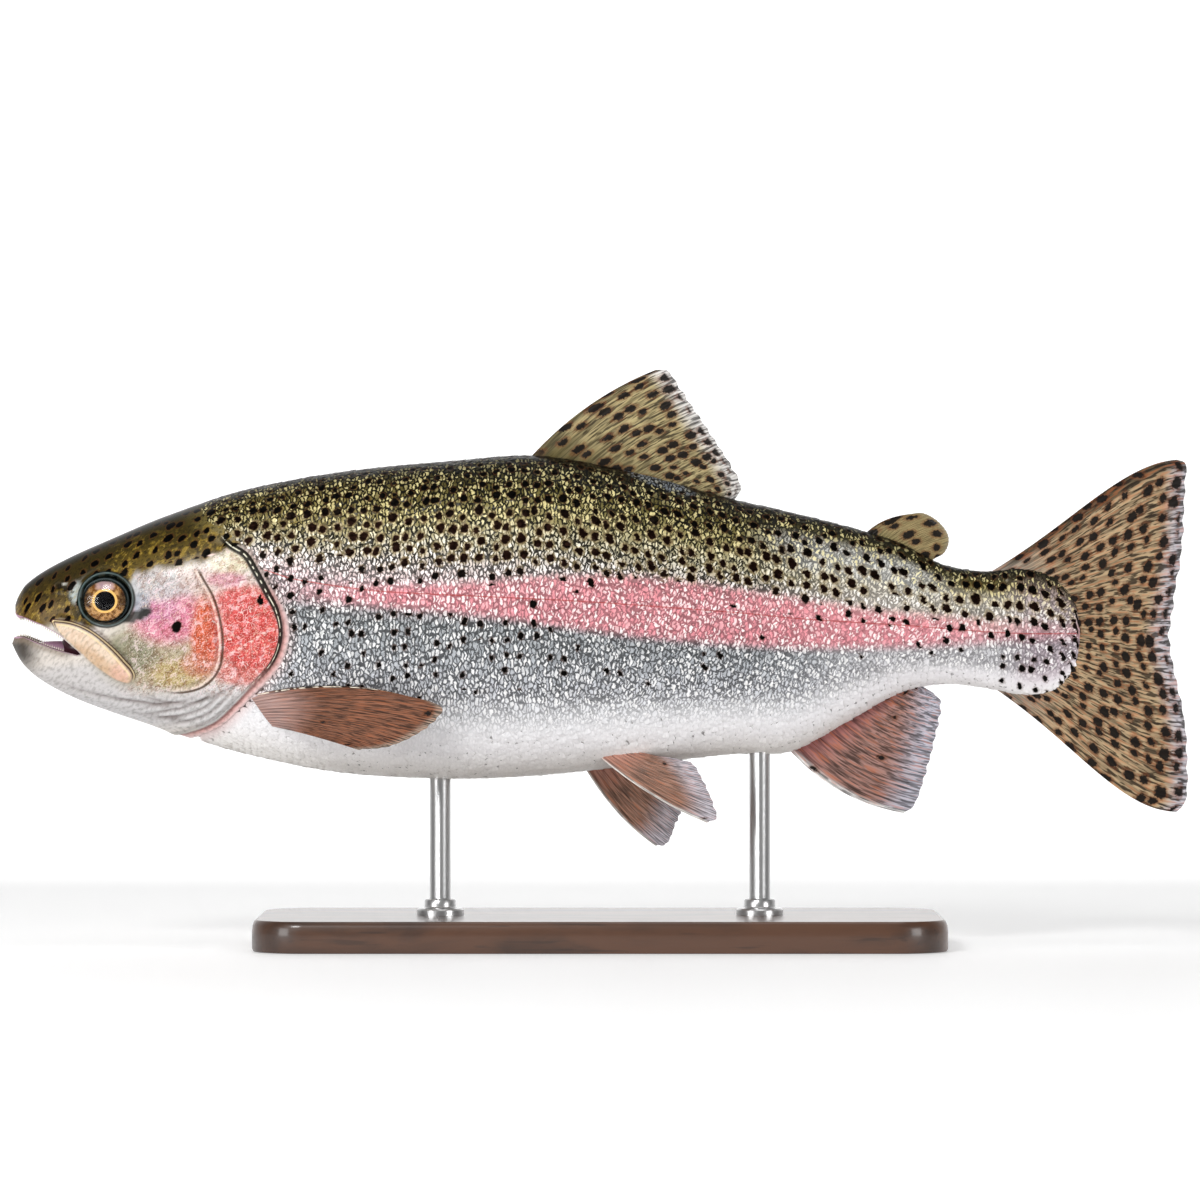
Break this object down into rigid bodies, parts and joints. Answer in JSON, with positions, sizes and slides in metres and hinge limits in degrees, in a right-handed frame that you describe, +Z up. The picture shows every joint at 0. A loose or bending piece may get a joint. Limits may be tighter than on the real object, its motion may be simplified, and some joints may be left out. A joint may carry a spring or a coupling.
{
  "type": "rainbow trout",
  "caption": "Life-size still rainbow trout, mouth a little open, spotted with a pink side stripe, held over a flat base by two short rods.",
  "frame": {"origin": "on the underside of the stand's base, below the middle of the fish's length", "axes": "+X towards the tail, -Y on the fish's left side, +Z up"},
  "size_m": [0.4499, 0.112, 0.2202],
  "materials": {
    "scaled_skin": "wet scaled skin: olive back, pink side stripe, silver flank, dark spots",
    "fin_membrane": "thin rayed fin membrane, tan, with dark spots above and reddish below",
    "mouth_lining": "moist pinkish-lilac mouth lining",
    "eye": "clear domed eye over a brown and gold iris",
    "base_wood": "dark walnut, satin varnish",
    "rod_steel": "brushed steel rod"
  },
  "bodies": {
    "root": {"head": "scaled_skin", "lower_jaw": "scaled_skin", "tongue": "mouth_lining", "trunk": "scaled_skin", "tail_stalk": "scaled_skin", "gill_cover_left": "scaled_skin", "maxilla_left": "scaled_skin", "eye_left": "eye", "pectoral_fin_left": "fin_membrane", "pelvic_fin_left": "fin_membrane", "gill_cover_right": "scaled_skin", "maxilla_right": "scaled_skin", "eye_right": "eye", "pectoral_fin_right": "fin_membrane", "pelvic_fin_right": "fin_membrane", "dorsal_fin": "fin_membrane", "adipose_fin": "fin_membrane", "tail_fin": "fin_membrane", "anal_fin": "fin_membrane", "stand_base": "base_wood", "stand_rod_front": "rod_steel", "stand_rod_rear": "rod_steel"}
  },
  "joints": []
}
